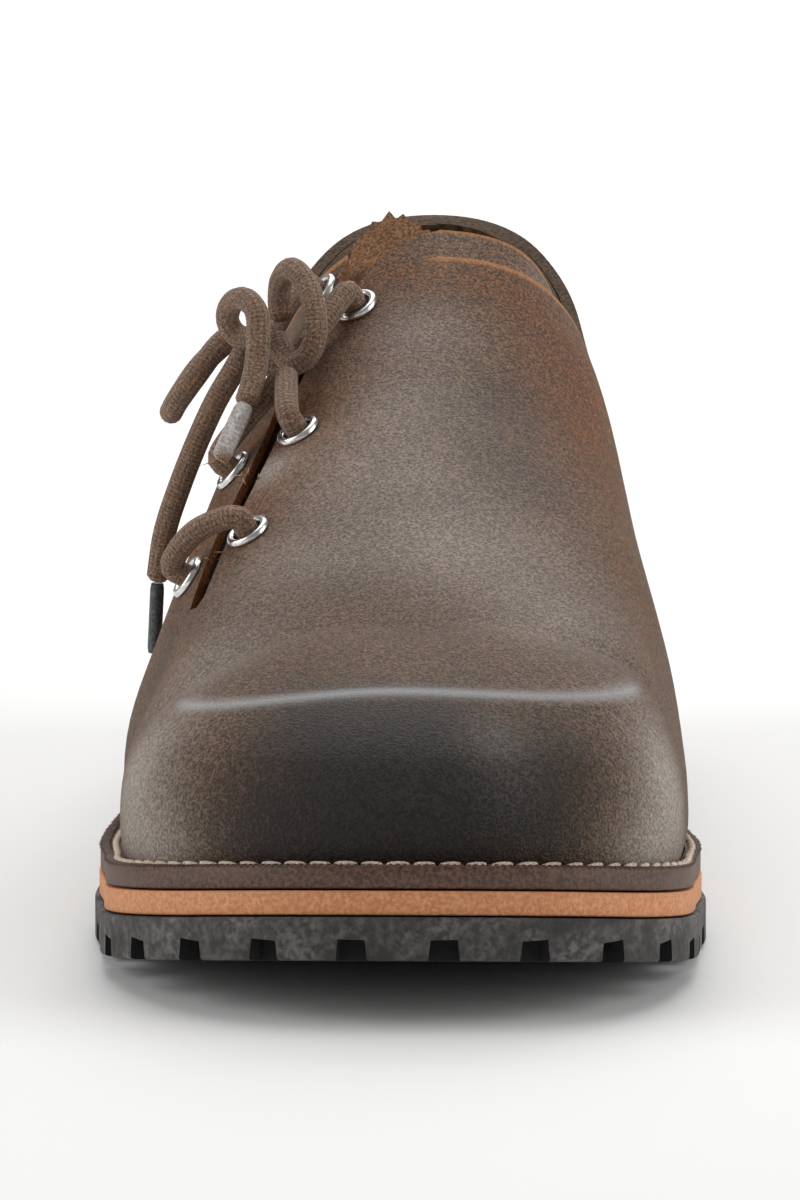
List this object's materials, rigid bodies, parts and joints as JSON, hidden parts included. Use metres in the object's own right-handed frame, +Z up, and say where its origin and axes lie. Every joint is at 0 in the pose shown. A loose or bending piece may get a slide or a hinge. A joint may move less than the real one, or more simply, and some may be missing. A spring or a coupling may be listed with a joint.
{
  "type": "haferl shoe",
  "caption": "Right foot leather haferl shoe, laced on its outer side, with a raised square toe box, a stitched welt and a lugged rubber sole.",
  "frame": {"origin": "centre of the shoe's outline in plan, on the floor that it stands on", "axes": "+Z up, -Y towards the toe, +Y towards the heel, -X towards the outer, laced side"},
  "size_m": [0.1104, 0.3052, 0.1164],
  "materials": {
    "upper_leather": "burnished waxed suede, fine grain, darker at the toe",
    "lining_leather": "smooth brown lining leather",
    "tongue_leather": "soft leather with a pinked edge",
    "midsole_leather": "natural tan edge",
    "welt_leather": "dark dressed edge",
    "insole_leather": "natural vegetable tan",
    "sole_rubber": "matt moulded rubber",
    "eyelet_metal": "nickel",
    "lace_cord": "round braided cotton",
    "aglet_pale": "worn pale sleeve",
    "aglet_dark": "dark sleeve"
  },
  "bodies": {
    "root": {"outsole": "sole_rubber", "heel": "sole_rubber", "midsole": "midsole_leather", "welt": "welt_leather", "insole": "insole_leather", "upper": "upper_leather", "collar_lining": "lining_leather", "tongue": "tongue_leather", "eyelet_vamp_1": "eyelet_metal", "eyelet_vamp_2": "eyelet_metal", "eyelet_vamp_3": "eyelet_metal", "eyelet_quarter_1": "eyelet_metal", "eyelet_quarter_2": "eyelet_metal", "eyelet_quarter_3": "eyelet_metal", "lace_bar": "lace_cord", "lace_cross": "lace_cord", "lace_knot": "lace_cord", "lace_loop_a": "lace_cord", "lace_loop_b": "lace_cord", "lace_end_a": "lace_cord", "lace_end_b": "lace_cord", "aglet_a": "aglet_pale", "aglet_b": "aglet_dark"}
  },
  "joints": []
}
